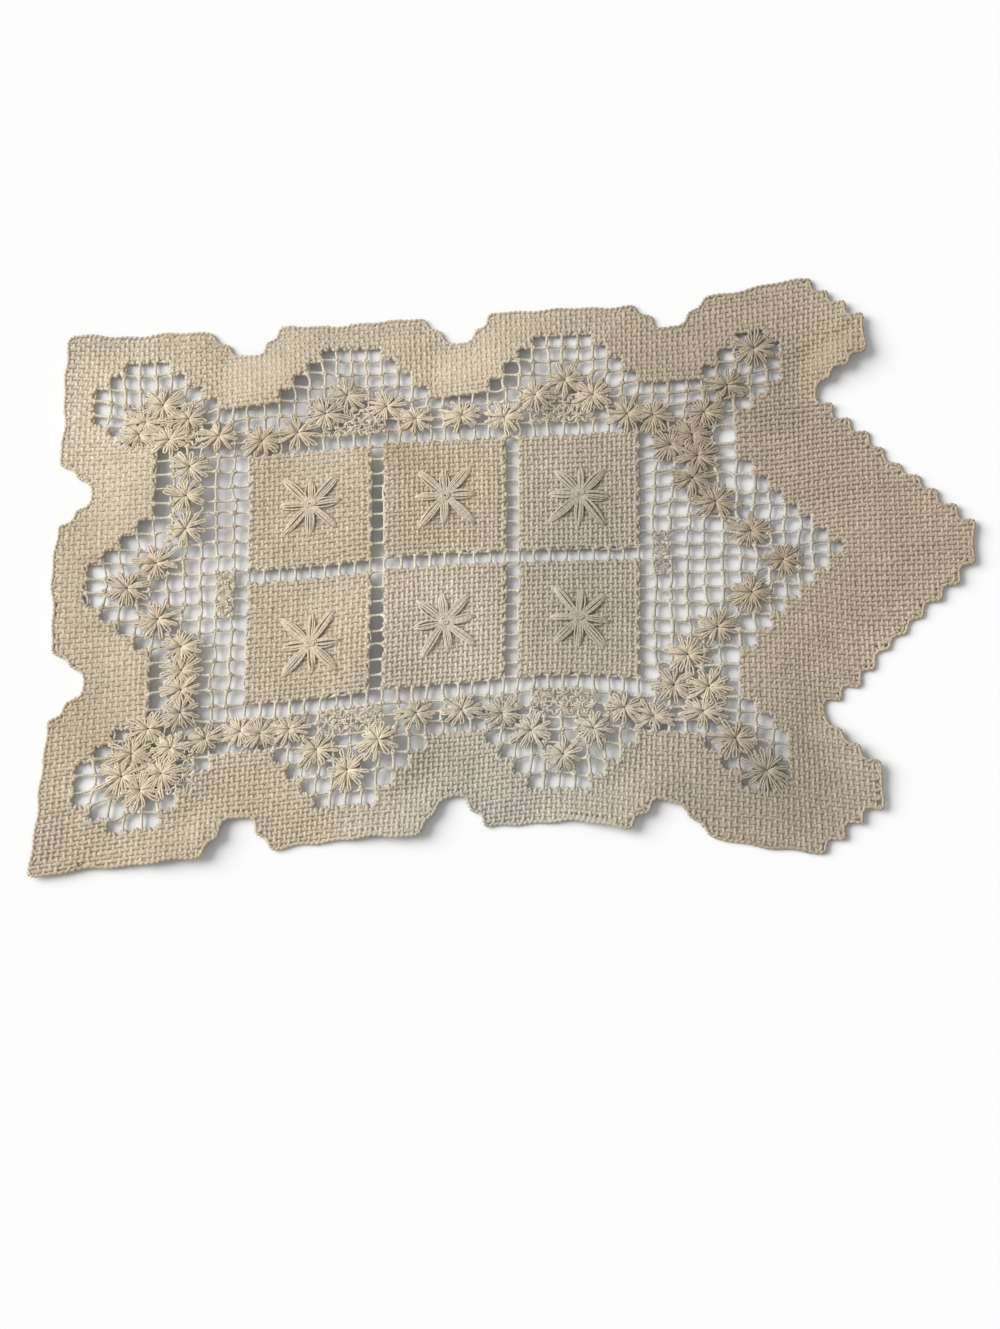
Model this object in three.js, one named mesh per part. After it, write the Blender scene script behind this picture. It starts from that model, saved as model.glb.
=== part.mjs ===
// Filet lace table runner: one piece of knotted square net, darned solid in cloth stitch,
// with open meshes left in bands round six starred squares. Millimetres, +Z up, point towards +X.
import * as THREE from 'three';

// Driving sizes
const clothThick = 2;          // darned net, laid flat
const barWidth = 1.3;          // net thread left between two open meshes
const meshPitch = 6.5;         // knot to knot along the runner
const gapHalf = 0.5 - barWidth / meshPitch / 2;   // half a gap, in meshes
const starRise = 1.2;          // middle of a darned star over the cloth
const daisyRise = 1.6;         // middle of a looped daisy over the net
const tipRise = 0.3;           // petal tips over the cloth

// Places are counted in meshes: columns run along the runner, rows across it, row 0 in the middle.
const leftColumn = -12;
const pointColumn = 47;
const edgeRow = 18.5;
const lastRow = edgeRow - 0.5; // middle of the outermost meshes
const bandRow = 9.5;           // inner edge of the openwork band
const upperShare = 0.53;       // share of the half width up to bandRow, far half
const lowerShare = 0.51;       // the same on the near half

// How the net lies on the table, one row for each measured column. x is along the runner, middle is
// the middle row's place across it, upper and lower the half widths, the leans shift the two edges, and
// the draws shift the lobes' rows across the runner.
const stations = [
  { column: -12, x: -194, middle: -5.5, upper: 112, lower: 125.5, leanTop: 3.2, leanBottom: -5,
    drawTop: 0, drawBottom: 0 },
  { column: -6, x: -151, middle: -4.5, upper: 112, lower: 120, leanTop: -2, leanBottom: -2,
    drawTop: -3, drawBottom: 2.5 },
  { column: -0.5, x: -114, middle: -1, upper: 110, lower: 120, leanTop: -2.2, leanBottom: -2.2,
    drawTop: 0, drawBottom: 4.5 },
  { column: 6.5, x: -69, middle: 3, upper: 109, lower: 118, leanTop: -3.2, leanBottom: -3.2,
    drawTop: -0.5, drawBottom: 3 },
  { column: 13.5, x: -24.5, middle: 6.5, upper: 110, lower: 118.5, leanTop: -1.2, leanBottom: -2.2,
    drawTop: -3.5, drawBottom: 4.5 },
  { column: 20.5, x: 20.5, middle: 9, upper: 110, lower: 115.5, leanTop: -0.2, leanBottom: -3.7,
    drawTop: -1, drawBottom: 2.5 },
  { column: 27.5, x: 67, middle: 10, upper: 113, lower: 122, leanTop: -0.2, leanBottom: -4.2,
    drawTop: -1.5, drawBottom: 4 },
  { column: 33, x: 105.5, middle: 11, upper: 118, lower: 127.5, leanTop: -0.5, leanBottom: -2,
    drawTop: -3, drawBottom: 3.5 },
  { column: 37, x: 130.5, middle: 12, upper: 121.5, lower: 132.5, leanTop: 3, leanBottom: 3,
    drawTop: -1, drawBottom: 1 },
  { column: 40.2, x: 152, middle: 12, upper: 124.8, lower: 135.5, leanTop: 3.5, leanBottom: 6,
    drawTop: 0, drawBottom: 0 },
  { column: 47, x: 200, middle: 13.8, upper: 130, lower: 135, leanTop: 7, leanBottom: 2.5,
    drawTop: 0, drawBottom: 0 },
];

const drawRow = 13;            // row of the lobes that the draws shift most
const stripNarrow = 1.2;       // mm that each side of the strip between the two rows of squares closes in
// Places where the net lies shifted: mm along and across the runner, fading out at reach
const drags = [
  { column: 34, row: 4, along: 0, across: -4, reach: 45 },
  { column: 34, row: -4, along: 0, across: 2, reach: 40 },
];

// Where the rim does not lie down: height of the edge in mm at the place, fading out at reach along it.
// The rim is the outermost strip, and everything inside it lies flat.
const rimMeshes = 1;
const lifts = [
  { column: -3, row: -18.5, height: 3, reach: 44 },
  { column: 11, row: -18.5, height: 2.5, reach: 40 },
  { column: 25.5, row: -18.5, height: 2.5, reach: 40 },
  { column: 40.2, row: -14.5, height: 2.5, reach: 46 },
  { column: 40.2, row: 14.5, height: 3, reach: 50 },
  { column: 47, row: 0, height: 2.5, reach: 48 },
  { column: -12, row: -17, height: 2, reach: 44 },
  { column: -12, row: 18, height: 1.5, reach: 36 },
];

// Notches of the outer edge: two steps in from each side.
const notchHalf = [2, 1];      // half width of each step, outermost first
const cornerCut = 0.36;        // meshes that the overcast edge takes off a corner
const cornerShare = 0.42;      // and the most of a side that one corner takes
const topNotches = [0, 14, 28];
const endNotchRow = 6.5;

// Corners of the last lobe and of the point, as column and row
const shoulder = [37, edgeRow];
const lobeTop = [40.3, 15.6];
const lobeFoot = [40.3, 13.4];
const throat = [37.4, 10.9];
const pointStart = [37.4, 10.4];
const pointEnd = [pointColumn, 1.5];
const lobeSteps = 3;
const pointSteps = 9;

// The cloth's inner edge on the far half, as runs of stairs from innerStart to each corner. tread
// says that a step goes along the runner first. The near half is its mirror image.
const innerStart = [-10, 0];
const innerRuns = [
  { column: -10, row: 1.5, steps: 1 },
  { column: -6, row: 5.5, steps: 4, tread: true },
  { column: -6, row: 9.5, steps: 1 },
  { column: -8, row: 9.5, steps: 1 },
  { column: -10, row: 11.5, steps: 2 },
  { column: -10, row: 14.5, steps: 1 },
  { column: -8, row: 16.5, steps: 2, tread: true },
  { column: -5, row: 16.5, steps: 1 },
  { column: -2, row: 13.5, steps: 3 },
  { column: -2, row: 12.5, steps: 1 },
  { column: 2, row: 12.5, steps: 1 },
  { column: 2, row: 13.5, steps: 1 },
  { column: 5, row: 16.5, steps: 3, tread: true },
  { column: 9, row: 16.5, steps: 1 },
  { column: 12, row: 13.5, steps: 3 },
  { column: 12, row: 12.5, steps: 1 },
  { column: 16, row: 12.5, steps: 1 },
  { column: 16, row: 13.5, steps: 1 },
  { column: 19, row: 16.5, steps: 3, tread: true },
  { column: 23, row: 16.5, steps: 1 },
  { column: 26, row: 13.5, steps: 3 },
  { column: 26, row: 12.5, steps: 1 },
  { column: 30, row: 12.5, steps: 1 },
  { column: 30, row: 13.5, steps: 1 },
  { column: 32, row: 15.5, steps: 2, tread: true },
  { column: 34, row: 15.5, steps: 1 },
  { column: 34, row: 14.5, steps: 1 },
  { column: 35, row: 14.5, steps: 1 },
  { column: 35, row: 12.5, steps: 1 },
  { column: 32, row: 9.5, steps: 3 },
  { column: 32, row: 6.5, steps: 1 },
  { column: 38, row: 0.5, steps: 6, tread: true },
  { column: 39, row: 0.5, steps: 1 },
];

// Six darned squares, each with a star in its middle
const squareSide = 8;
const squareColumns = [0, 9, 18];
const starPetals = 8;
const starReach = 2.1;
const starWaist = 1.1;

// Strips of open meshes beside the squares, and the lobes, whose gaps are cut two by two
const pairedRows = [0, 9];
const pairedColumns = [-6, -4, -3, -2, -1, 8, 17, 26, 27, 28, 29, 30, 31];
const pairedFrom = 13;         // first row of the lobes

// Meshes filled with looped thread, which leave no gap over 4 mm
const loopPatches = [
  { from: 5, to: 9, low: 10, high: 12 },
  { from: 19, to: 23, low: 10, high: 12 },
  { from: -2, to: -1, low: 0, high: 1 },
  { from: 27, to: 28, low: 0, high: 1 },
];

// Daisies on the far half, mirrored onto the near half
const daisyReach = 0.98;
const daisyWaist = 0.72;
const daisyPetals = 6;
const daisyClear = 0.08;       // meshes left between petals and the nearest gap that is cut
const daisies = [
  { column: -7.6, row: 0 },
  { column: -5.8, row: 2 },
  { column: -4, row: 4 },
  { column: -4, row: 6.3 },
  { column: -4, row: 8.6 },
  { column: -6, row: 10.3 },
  { column: -8, row: 12 },
  { column: -4.2, row: 11.6 },
  { column: -6.1, row: 13.4 },
  { column: -1.8, row: 10.2 },
  { column: 0.5, row: 10.2 },
  { column: 2.7, row: 10.6 },
  { column: 5, row: 12 },
  { column: 6.9, row: 13.5 },
  { column: 9, row: 12 },
  { column: 10.8, row: 10.7 },
  { column: 13.4, row: 10.3 },
  { column: 16.2, row: 10.7 },
  { column: 18.9, row: 12 },
  { column: 20.9, row: 13.5 },
  { column: 23, row: 12 },
  { column: 24.8, row: 10.7 },
  { column: 27, row: 10.2 },
  { column: 34.6, row: 0 },
  { column: 32.6, row: 2.1 },
  { column: 30.6, row: 4.2 },
  { column: 29.1, row: 6.1 },
  { column: 28.7, row: 8.3 },
  { column: 30, row: 10.4 },
  { column: 31.6, row: 12.2 },
  { column: 33.2, row: 14 },
];

// A station value at any column: a smooth curve through the table.
function stationValue(column, key) {
  const last = stations.length - 1;
  const slope = (k) => {
    const a = stations[Math.max(k - 1, 0)];
    const b = stations[Math.min(k + 1, last)];
    return (b[key] - a[key]) / (b.column - a.column);
  };
  let k = 0;
  while (k < last - 1 && column > stations[k + 1].column) k += 1;
  const a = stations[k];
  const b = stations[k + 1];
  const span = b.column - a.column;
  const u = (column - a.column) / span;
  if (u < 0) return a[key] + slope(k) * (column - a.column);
  if (u > 1) return b[key] + slope(k + 1) * (column - b.column);
  const u2 = u * u;
  const u3 = u2 * u;
  return (2 * u3 - 3 * u2 + 1) * a[key] + (u3 - 2 * u2 + u) * span * slope(k)
    + (3 * u2 - 2 * u3) * b[key] + (u3 - u2) * span * slope(k + 1);
}

// A tent over three rows: 0 at the first and the last, 1 at the peak.
function tent(row, first, peak, last) {
  return Math.max(0, Math.min((row - first) / (peak - first), (last - row) / (last - peak)));
}

// Where a point of the net, counted in meshes, lies on the table before it is dragged.
function spreadAt(column, row) {
  const far = row >= 0;
  const share = far ? upperShare : lowerShare;
  const away = Math.abs(row);
  const reached = away <= bandRow
    ? share * away / bandRow
    : share + (1 - share) * (away - bandRow) / (edgeRow - bandRow);
  const half = stationValue(column, far ? 'upper' : 'lower');
  const lean = stationValue(column, far ? 'leanTop' : 'leanBottom');
  const draw = stationValue(column, far ? 'drawTop' : 'drawBottom') * tent(away, bandRow, drawRow, edgeRow);
  const strip = stripNarrow * tent(away, 0, 0.5, bandRow);
  return new THREE.Vector2(
    stationValue(column, 'x') + lean * (row / edgeRow) ** 2,
    stationValue(column, 'middle') + (far ? half : -half) * reached + draw - (far ? strip : -strip),
  );
}

// The same with its drags, each a smooth hump that is zero beyond its reach.
function layAt(column, row) {
  const point = spreadAt(column, row);
  const laid = point.clone();
  for (const drag of drags) {
    const away = point.distanceTo(spreadAt(drag.column, drag.row)) / drag.reach;
    const share = away < 1 ? (1 - away * away) ** 2 : 0;
    laid.add(new THREE.Vector2(drag.along * share, drag.across * share));
  }
  return laid;
}

// Height of the outer edge over the table: each lift is a smooth hump that is zero beyond its reach.
function liftAt(point) {
  return lifts.reduce((sum, lift) => {
    const away = point.distanceTo(layAt(lift.column, lift.row)) / lift.reach;
    return sum + (away < 1 ? lift.height * (1 - away * away) ** 2 : 0);
  }, 0);
}

// Corner points of a flight of equal stairs, without its first point.
function stairs(from, to, steps, tread) {
  const points = [];
  let [column, row] = from;
  for (let k = 1; k <= steps; k += 1) {
    const nextColumn = from[0] + (to[0] - from[0]) * k / steps;
    const nextRow = from[1] + (to[1] - from[1]) * k / steps;
    points.push(tread ? [nextColumn, row] : [column, nextRow]);
    points.push([nextColumn, nextRow]);
    column = nextColumn;
    row = nextRow;
  }
  return points;
}

function mirrored(points) {
  return points.concat(points.map(([column, row]) => [column, -row]).reverse());
}

// Drops repeated points and points in the middle of a straight run.
function cornersOnly(points) {
  const apart = points.filter((p, k) => {
    const q = points[(k + 1) % points.length];
    return Math.hypot(p[0] - q[0], p[1] - q[1]) > 1e-6;
  });
  return apart.filter((p, k) => {
    const a = apart[(k + apart.length - 1) % apart.length];
    const b = apart[(k + 1) % apart.length];
    return Math.abs((p[0] - a[0]) * (b[1] - p[1]) - (p[1] - a[1]) * (b[0] - p[0])) > 1e-6;
  });
}

// Cuts each corner back by up to the given count of meshes, as the overcast edge rounds it.
function eased(points, cut) {
  return points.flatMap((p, k) => {
    const sides = [points[(k + points.length - 1) % points.length], points[(k + 1) % points.length]];
    return sides.map((q) => {
      const length = Math.hypot(q[0] - p[0], q[1] - p[1]);
      const share = Math.min(cut, cornerShare * length) / length;
      return [p[0] + (q[0] - p[0]) * share, p[1] + (q[1] - p[1]) * share];
    });
  });
}

// The same corners moved inwards: each side of the stepped edge shifts along its own normal.
function inset(points, by) {
  return points.map((p, k) => {
    const shifts = [points[(k + points.length - 1) % points.length], points[(k + 1) % points.length]]
      .map((q, m) => {
        const [from, to] = m ? [p, q] : [q, p];
        const length = Math.hypot(to[0] - from[0], to[1] - from[1]);
        return [(to[1] - from[1]) / length * by, (from[0] - to[0]) / length * by];
      });
    return [p[0] + shifts[0][0] + shifts[1][0], p[1] + shifts[0][1] + shifts[1][1]];
  });
}

// Corners of the outer edge, clockwise: the far half from the left end round to the point, then the near.
function outerCorners() {
  const points = [[leftColumn, 0]];
  const endNotch = notchHalf.map((half, k) => [
    [leftColumn + k, endNotchRow - half], [leftColumn + k + 1, endNotchRow - half]]).flat();
  points.push(...endNotch);
  points.push(...endNotch.map(([column, row]) => [column, 2 * endNotchRow - row]).reverse());
  points.push([leftColumn, edgeRow]);
  for (const middle of topNotches) {
    const near = notchHalf.map((half, k) => [
      [middle - half, edgeRow - k], [middle - half, edgeRow - k - 1]]).flat();
    points.push(...near);
    points.push(...near.map(([column, row]) => [2 * middle - column, row]).reverse());
  }
  points.push(shoulder, ...stairs(shoulder, lobeTop, lobeSteps, false));
  points.push(lobeFoot, ...stairs(lobeFoot, throat, lobeSteps, false));
  points.push(pointStart, ...stairs(pointStart, pointEnd, pointSteps, false));
  return cornersOnly(mirrored(points));
}

function innerEdge() {
  const points = [innerStart];
  for (const run of innerRuns) {
    points.push(...stairs(points[points.length - 1], [run.column, run.row], run.steps, run.tread));
  }
  return cornersOnly(mirrored(points));
}

function inside(polygon, column, row) {
  let odd = false;
  polygon.forEach(([c, r], k) => {
    const [d, s] = polygon[(k + 1) % polygon.length];
    if ((r > row) !== (s > row) && column < c + (d - c) * (row - r) / (s - r)) odd = !odd;
  });
  return odd;
}

const allDaisies = daisies.flatMap((d) => (d.row ? [d, { column: d.column, row: -d.row }] : [d]));

// Open meshes: inside the cloth's inner edge, clear of squares, loops and daisies.
function openMeshes() {
  const edge = innerEdge();
  const cells = [];
  for (let column = leftColumn; column < pointColumn; column += 1) {
    for (let row = -lastRow; row <= lastRow; row += 1) {
      const away = Math.abs(row);
      const inSquare = away >= 1 && away <= squareSide
        && squareColumns.some((first) => column >= first && column < first + squareSide);
      const looped = loopPatches.some((p) => column >= p.from && column < p.to
        && away >= p.low && away <= p.high);
      const hidden = allDaisies.some((d) => Math.hypot(
        Math.max(Math.abs(d.column - column - 0.5) - gapHalf, 0),
        Math.max(Math.abs(d.row - row) - gapHalf, 0)) < daisyReach + daisyClear);
      if (!inSquare && !looped && !hidden && inside(edge, column + 0.5, row)) cells.push({ column, row });
    }
  }
  return cells;
}

// Gaps that are cut through. The even strips beside the squares and the lobes are cut at twice the
// net's pitch: there an odd mesh, counted from the strip's square, takes in its even neighbour.
function cutGaps() {
  const cells = openMeshes();
  const find = (column, row) => cells.find((c) => c.column === column && c.row === row);
  const taken = new Set();
  const gaps = [];
  for (const cell of cells) {
    const side = Math.sign(cell.row);
    const along = pairedRows.includes(Math.abs(cell.row));
    const across = Math.abs(cell.row) >= pairedFrom
      || (pairedColumns.includes(cell.column) && Math.abs(cell.row) <= squareSide);
    const fromSquare = squareColumns.filter((first) => cell.column >= first).pop();
    let mate;
    if (along && fromSquare !== undefined) {
      const even = (cell.column - fromSquare) % 2 === 0 && cell.column - fromSquare < squareSide;
      mate = even && find(cell.column + 1, cell.row);
    } else if (across && side && Math.abs(cell.row) % 2) {
      mate = find(cell.column, cell.row + side);
    }
    if (mate) taken.add(mate);
    gaps.push({ cell, mate });
  }
  return gaps.filter((gap) => !taken.has(gap.cell));
}

function gapOutline({ cell, mate }) {
  const ends = mate ? [cell, mate] : [cell];
  const left = Math.min(...ends.map((c) => c.column)) + 0.5 - gapHalf;
  const right = Math.max(...ends.map((c) => c.column)) + 0.5 + gapHalf;
  const low = Math.min(...ends.map((c) => c.row)) - gapHalf;
  const high = Math.max(...ends.map((c) => c.row)) + gapHalf;
  return [[left, low], [right, low], [right, high], [left, high]];
}

// Flower outline: petal tips at reach and the notches between them at waist.
function flowerRing({ column, row }, petals, reach, waist) {
  return Array.from({ length: 2 * petals }, (_, k) => {
    const turn = Math.PI * k / petals;
    const radius = k % 2 ? waist : reach;
    return [column + radius * Math.cos(turn), row + radius * Math.sin(turn)];
  });
}

function flowers() {
  const stars = squareColumns.flatMap((first) => [1, -1].map((side) => ({
    column: first + squareSide / 2, row: side * (squareSide + 1) / 2 })));
  return [
    ...stars.map((at) => ({ at, rise: starRise, ring: flowerRing(at, starPetals, starReach, starWaist) })),
    ...allDaisies.map((at) => ({
      at, rise: daisyRise, ring: flowerRing(at, daisyPetals, daisyReach, daisyWaist) })),
  ];
}

// The runner as one closed skin: both faces share one layout of triangles, the flowers' middles are
// raised on the top face, and walls close the outer edge and every open mesh.
function runnerGeometry() {
  const corners = outerCorners();
  const outer = eased(corners, cornerCut);
  const belt = inset(corners, rimMeshes);
  const holes = cutGaps().map(gapOutline);
  const blooms = flowers();
  const loops = [outer, belt, ...holes, ...blooms.map((bloom) => bloom.ring)];
  const laid = loops.map((loop) => loop.map(([column, row]) => layAt(column, row)));
  const flat = laid.flat();
  const count = flat.length;
  const starts = [];
  laid.reduce((sum, loop, k) => {
    starts[k] = sum;
    return sum + loop.length;
  }, 0);

  const heights = flat.map((p, k) => (k < outer.length ? liftAt(p) : 0));
  const tops = heights.map((height) => height + clothThick);
  const points = [];
  const addPoint = (p, z) => points.push(p.x, p.y, z) / 3 - 1;
  const index = [];
  const face = (a, b, c) => index.push(a, b, c);
  const turned = (a, b, c) => (flat[b].x - flat[a].x) * (flat[c].y - flat[a].y)
    - (flat[b].y - flat[a].y) * (flat[c].x - flat[a].x) > 0;

  const beltLoop = 1;
  const firstHole = 2;
  const firstBloom = firstHole + holes.length;
  blooms.forEach((bloom, k) => {
    bloom.ring.forEach((_, m) => {
      if (m % 2 === 0) tops[starts[firstBloom + k] + m] += tipRise;
    });
  });
  flat.forEach((p, k) => addPoint(p, tops[k]));
  flat.forEach((p, k) => addPoint(p, heights[k]));

  const layout = [
    ...THREE.ShapeUtils.triangulateShape(laid[0], [laid[1]]),
    ...THREE.ShapeUtils.triangulateShape(laid[1], laid.slice(firstHole))
      .map((corner) => corner.map((k) => k + outer.length)),
  ];
  for (const [a, b, c] of layout) {
    const [p, q, r] = turned(a, b, c) ? [a, b, c] : [a, c, b];
    face(p, q, r);
    face(p + count, r + count, q + count);
  }
  blooms.forEach((bloom, k) => {
    const start = starts[firstBloom + k];
    const size = bloom.ring.length;
    const middle = layAt(bloom.at.column, bloom.at.row);
    const crown = addPoint(middle, clothThick + bloom.rise);
    const back = addPoint(middle, 0);
    bloom.ring.forEach((_, m) => {
      const a = start + m;
      const b = start + (m + 1) % size;
      face(a, b, crown);
      face(b + count, a + count, back);
    });
  });
  laid.slice(0, firstBloom).forEach((loop, k) => {
    if (k === beltLoop) return;
    const anticlockwise = !THREE.ShapeUtils.isClockWise(loop);
    const solidOnLeft = k === 0 ? anticlockwise : !anticlockwise;
    loop.forEach((_, m) => {
      const here = starts[k] + m;
      const next = starts[k] + (m + 1) % loop.length;
      const [a, b] = solidOnLeft ? [here, next] : [next, here];
      face(a + count, b + count, b);
      face(a + count, b, a);
    });
  });

  const geometry = new THREE.BufferGeometry();
  geometry.setAttribute('position', new THREE.Float32BufferAttribute(points, 3));
  geometry.setIndex(index);
  geometry.computeBoundingBox();
  const middle = geometry.boundingBox.getCenter(new THREE.Vector3());
  geometry.translate(-middle.x, -middle.y, -geometry.boundingBox.min.z);
  geometry.computeVertexNormals();
  return geometry;
}

const ecruCotton = new THREE.MeshStandardMaterial({ color: '#c3b08f', roughness: 0.95, metalness: 0 });
const runner = new THREE.Mesh(runnerGeometry(), ecruCotton);
runner.name = 'runner';

const group = new THREE.Group();
group.add(runner);

export default group;
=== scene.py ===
# Filet lace table runner: a knotted cotton net, darned with soft ecru yarn and laid on a pale table.
import math

import bpy
import numpy as np
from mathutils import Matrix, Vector


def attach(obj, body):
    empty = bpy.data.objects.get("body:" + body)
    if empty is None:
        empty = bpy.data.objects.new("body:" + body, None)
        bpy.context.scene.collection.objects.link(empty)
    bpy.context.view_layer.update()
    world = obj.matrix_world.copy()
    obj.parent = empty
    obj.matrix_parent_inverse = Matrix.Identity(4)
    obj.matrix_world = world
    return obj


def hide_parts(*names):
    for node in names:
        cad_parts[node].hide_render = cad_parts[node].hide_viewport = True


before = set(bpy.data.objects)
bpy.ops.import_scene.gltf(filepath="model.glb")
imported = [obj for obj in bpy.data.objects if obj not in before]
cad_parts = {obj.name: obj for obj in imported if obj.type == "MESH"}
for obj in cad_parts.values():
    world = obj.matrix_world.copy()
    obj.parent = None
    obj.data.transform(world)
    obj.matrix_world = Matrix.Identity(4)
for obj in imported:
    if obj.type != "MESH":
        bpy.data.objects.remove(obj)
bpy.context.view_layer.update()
mm = 0.001  # the chart and the yarns are sized in millimetres
rng = np.random.default_rng(1907)  # one seed for every uneven stitch
print("frame loaded")

# The chart is counted in meshes: columns run along the runner, rows across it, row 0 in the middle
chart = dict(
    firstColumn=-12, pointColumn=47, edgeRow=18.5, bandRow=9.5,
    upperShare=0.53, lowerShare=0.51,  # share of each half width up to bandRow
    notchHalf=(2, 2, 1, 1), notchDepth=(0, 1, 1, 2),
    topNotches=(0, 14, 28), endNotchRow=6.5,
    shoulder=(37, 18.5), lobeTop=(40.3, 15.6), lobeFoot=(40.3, 13.4), lobeSteps=3,
    throat=(37.4, 10.9), pointStart=(37.4, 10.4), pointEnd=(47, 1.5), pointSteps=9,
    squareSide=8, squareColumns=(0, 9, 18), innerStart=(-10, 0),
    drawRow=13,  # row that the draws shift most
    stripHalf=0.5, stripNarrow=0.2,  # half the strip between the squares, mm that it closes in
    meshPitch=6.5,  # mm from knot to knot along the runner
    rowStretch=1.05,  # share of that from knot to knot across it
)

# How the net lies on the table, in mm for each measured column: half widths, shift along at the two edges
# (lean) and shift across in the two rows of lobes (draw)
stationKeys = ("column", "x", "middle", "upper", "lower", "leanTop", "leanBottom", "drawTop", "drawBottom")
stationRows = (
    (-12, -194, -5.5, 112, 125.5, 3.2, -5, 0, 0),
    (-6, -151, -4.5, 112, 120, -2, -2, -3, 2.5),
    (-0.5, -113.4, -1, 110, 120, -2.8, -2.8, 0, 4.5),
    (6.5, -68, 3, 109, 118, -4.2, -4.2, -0.5, 3),
    (13.5, -23.5, 6.5, 110, 118.5, -2.2, -3.2, -3.5, 4.5),
    (20.5, 21, 9, 110, 115.5, -0.7, -4.2, -1, 2.5),
    (27.5, 65.4, 10, 113, 122, 1.4, -2.6, -1.5, 4),
    (33, 105.5, 11, 118, 127.5, -0.5, -2, -3, 3.5),
    (37, 130.5, 12, 121.5, 132.5, 3, 3, -1, 1),
    (40.2, 152, 12, 124.8, 135.5, 3.5, 6, 0, 0),
    (47, 200, 13.8, 130, 135, 7, 2.5, 0, 0),
)
stations = dict(zip(stationKeys, np.array(stationRows, float).T))

# Places where the net lies shifted: column, row, mm across, reach in mm
drags = ((34, 4, -4, 45), (34, -4, 2, 40), (4, -4.5, -2.4, 60), (22, 2, -1.3, 60))

# Corners of the cloth's inner edge on the far half: column, row, count of stairs, tread first or not
innerRuns = (
    (-10, 1.5, 1, 0), (-6, 5.5, 4, 1), (-6, 9.5, 1, 0), (-8, 9.5, 1, 0), (-10, 11.5, 2, 0),
    (-10, 14.5, 1, 0), (-8, 16.5, 2, 1), (-5, 16.5, 1, 0), (-2, 13.5, 3, 0), (-2, 12.5, 1, 0),
    (2, 12.5, 1, 0), (2, 13.5, 1, 0), (5, 16.5, 3, 1), (9, 16.5, 1, 0), (12, 13.5, 3, 0),
    (12, 12.5, 1, 0), (16, 12.5, 1, 0), (16, 13.5, 1, 0), (19, 16.5, 3, 1), (23, 16.5, 1, 0),
    (26, 13.5, 3, 0), (26, 12.5, 1, 0), (30, 12.5, 1, 0), (30, 13.5, 1, 0), (32, 15.5, 2, 1),
    (34, 15.5, 1, 0), (34, 14.5, 1, 0), (35, 14.5, 1, 0), (35, 12.5, 1, 0), (32, 9.5, 3, 0),
    (32, 6.5, 1, 0), (38, 0.5, 6, 1), (39, 0.5, 1, 0),
)

# Where the cloth stands off the table: column, row, height in mm, reach in mm. A rim lift fades out this
# many meshes in from the edge, and bellyMeshes in, the whole cloth stands off by belly mm
rim = dict(meshes=2.6, belly=1.8, bellyMeshes=4)
rimLifts = (
    (-3, -18.5, 3.6, 44), (11, -18.5, 3.2, 40), (25.5, -18.5, 3.2, 40), (40.2, -14.5, 1.5, 46),
    (40.2, 14.5, 1.6, 50), (47, 0, 1.4, 48), (-12, -17, 2, 44), (-12, 18, 1.5, 36),
    (38.8, 12.4, 3, 28), (38.8, -12.4, 2, 26),
)
swells = (
    (-4.5, 6, 2.8, 42), (8.5, 5, 3.2, 42), (8.5, -5, 3.8, 38), (3, 14, 4, 32), (17, 13.5, 3.8, 32),
    (9.5, -12.5, 3.2, 26), (-4.5, -6, 1.6, 32), (23, -13, 2.6, 26), (33, -12, 1.5, 40),
)


def stationCurve(column, key):
    # cubic Hermite curve through the stations, each slope taken from the two neighbours, and straight on
    # past the ends
    at, value = stations["column"], stations[key]
    slope = np.empty_like(value)
    slope[1:-1] = (value[2:] - value[:-2]) / (at[2:] - at[:-2])
    slope[0] = (value[1] - value[0]) / (at[1] - at[0])
    slope[-1] = (value[-1] - value[-2]) / (at[-1] - at[-2])
    k = np.clip(np.searchsorted(at, column, side="right") - 1, 0, len(at) - 2)
    span = at[k + 1] - at[k]
    u = np.clip((column - at[k]) / span, 0, 1)
    past = column - at[k] - u * span
    curve = ((2 * u**3 - 3 * u**2 + 1) * value[k] + (u**3 - 2 * u**2 + u) * span * slope[k]
             + (3 * u**2 - 2 * u**3) * value[k + 1] + (u**3 - u**2) * span * slope[k + 1])
    return curve + past * np.where(past > 0, slope[k + 1], slope[k])


def spreadAt(column, row):
    # each column is a line across the runner: middle plus half width times the row's share, leaning at its
    # ends; the lobes' rows are drawn towards the middle, and the strip between the squares is narrowed
    column, row = np.broadcast_arrays(np.asarray(column, float), np.asarray(row, float))
    far, away = row >= 0, np.abs(row)
    share = np.where(far, chart["upperShare"], chart["lowerShare"])
    band, edge = chart["bandRow"], chart["edgeRow"]
    beyond = share + (1 - share) * (away - band) / (edge - band)
    reached = np.where(away <= band, share * away / band, beyond)
    half = np.where(far, stationCurve(column, "upper"), -stationCurve(column, "lower"))
    lean = np.where(far, stationCurve(column, "leanTop"), stationCurve(column, "leanBottom"))
    draw = np.where(far, stationCurve(column, "drawTop"), stationCurve(column, "drawBottom"))
    draw = draw * np.interp(away, (band, chart["drawRow"], edge), (0, 1, 0))
    strip = np.where(far, -chart["stripNarrow"], chart["stripNarrow"])
    strip = strip * np.interp(away, (0, chart["stripHalf"], band), (0, 1, 0))
    return (stationCurve(column, "x") + lean * (row / edge) ** 2,
            stationCurve(column, "middle") + half * reached + draw + strip)


def roundTurn(samples):
    # even angles once round
    return np.arange(samples) * 2 * math.pi / samples


def hump(x, y, atX, atY, reach):
    # (1 - (distance / reach) squared) squared, and 0 past the reach
    return np.clip(1 - ((x - atX) ** 2 + (y - atY) ** 2) / reach**2, 0, 1) ** 2


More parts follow.
